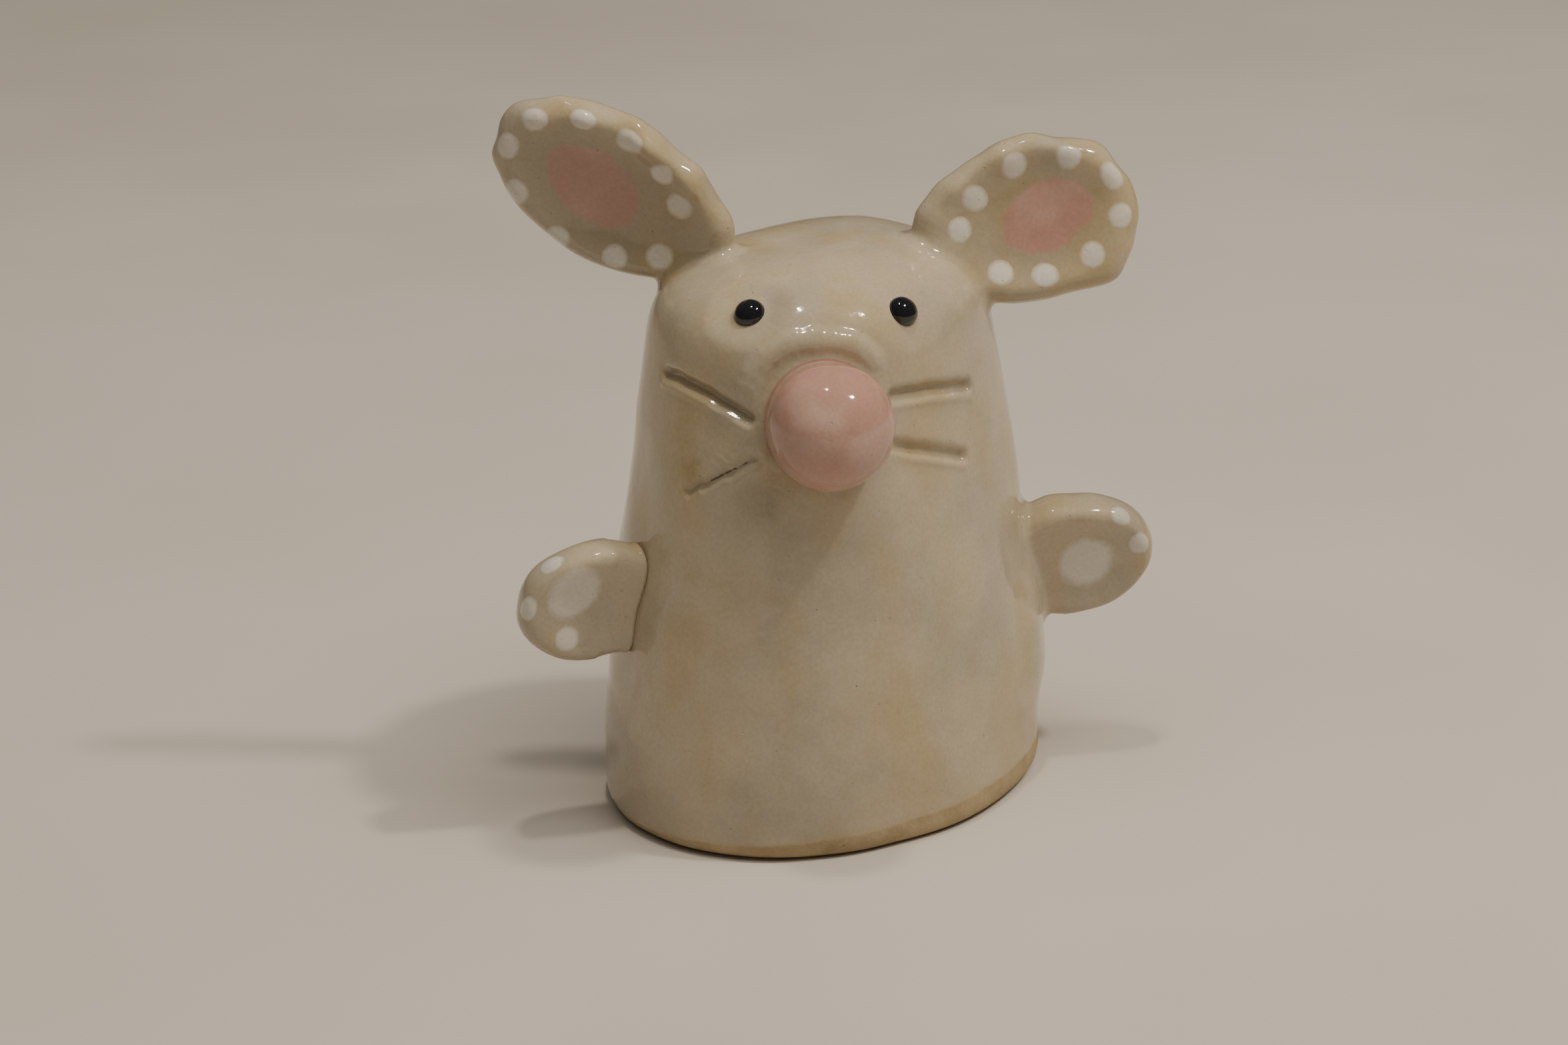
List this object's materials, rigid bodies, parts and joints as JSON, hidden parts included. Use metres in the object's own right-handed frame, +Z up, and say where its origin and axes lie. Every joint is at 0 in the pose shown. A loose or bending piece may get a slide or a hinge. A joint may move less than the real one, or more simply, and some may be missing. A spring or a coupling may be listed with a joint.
{
  "type": "pottery mouse figurine",
  "caption": "Small hand-built mouse figurine in glazed stoneware: hollow bell-shaped body, spotted ears, round pink nose, pressed whiskers and short arms.",
  "frame": {"origin": "on the ground, under the middle of the whole mouse's bounding box", "axes": "+Z up, -Y the way the mouse faces, +X to the mouse's own left"},
  "size_m": [0.0636, 0.0516, 0.0699],
  "materials": {
    "glazed_stoneware": "clear glossy glaze over buff stoneware, bare along the foot",
    "pink_glaze": "glossy dusty pink glaze",
    "white_slip": "raised white slip under clear glaze",
    "black_slip": "very glossy black"
  },
  "bodies": {
    "root": {"body_shell": "glazed_stoneware", "ear_left": "glazed_stoneware", "ear_right": "glazed_stoneware", "arm_left": "glazed_stoneware", "arm_right": "glazed_stoneware", "tail": "glazed_stoneware", "nose": "pink_glaze", "eye_left": "black_slip", "eye_right": "black_slip", "ear_left_dot_1": "white_slip", "ear_left_dot_2": "white_slip", "ear_left_dot_3": "white_slip", "ear_left_dot_4": "white_slip", "ear_left_dot_5": "white_slip", "ear_left_dot_6": "white_slip", "ear_left_dot_7": "white_slip", "ear_left_dot_8": "white_slip", "ear_left_dot_9": "white_slip", "ear_right_dot_1": "white_slip", "ear_right_dot_2": "white_slip", "ear_right_dot_3": "white_slip", "ear_right_dot_4": "white_slip", "ear_right_dot_5": "white_slip", "ear_right_dot_6": "white_slip", "ear_right_dot_7": "white_slip", "ear_right_dot_8": "white_slip", "ear_right_dot_9": "white_slip", "ear_right_dot_10": "white_slip", "paw_left_palm": "white_slip", "paw_left_toe_1": "white_slip", "paw_left_toe_2": "white_slip", "paw_right_palm": "white_slip", "paw_right_toe_1": "white_slip", "paw_right_toe_2": "white_slip", "paw_right_toe_3": "white_slip"}
  },
  "joints": []
}
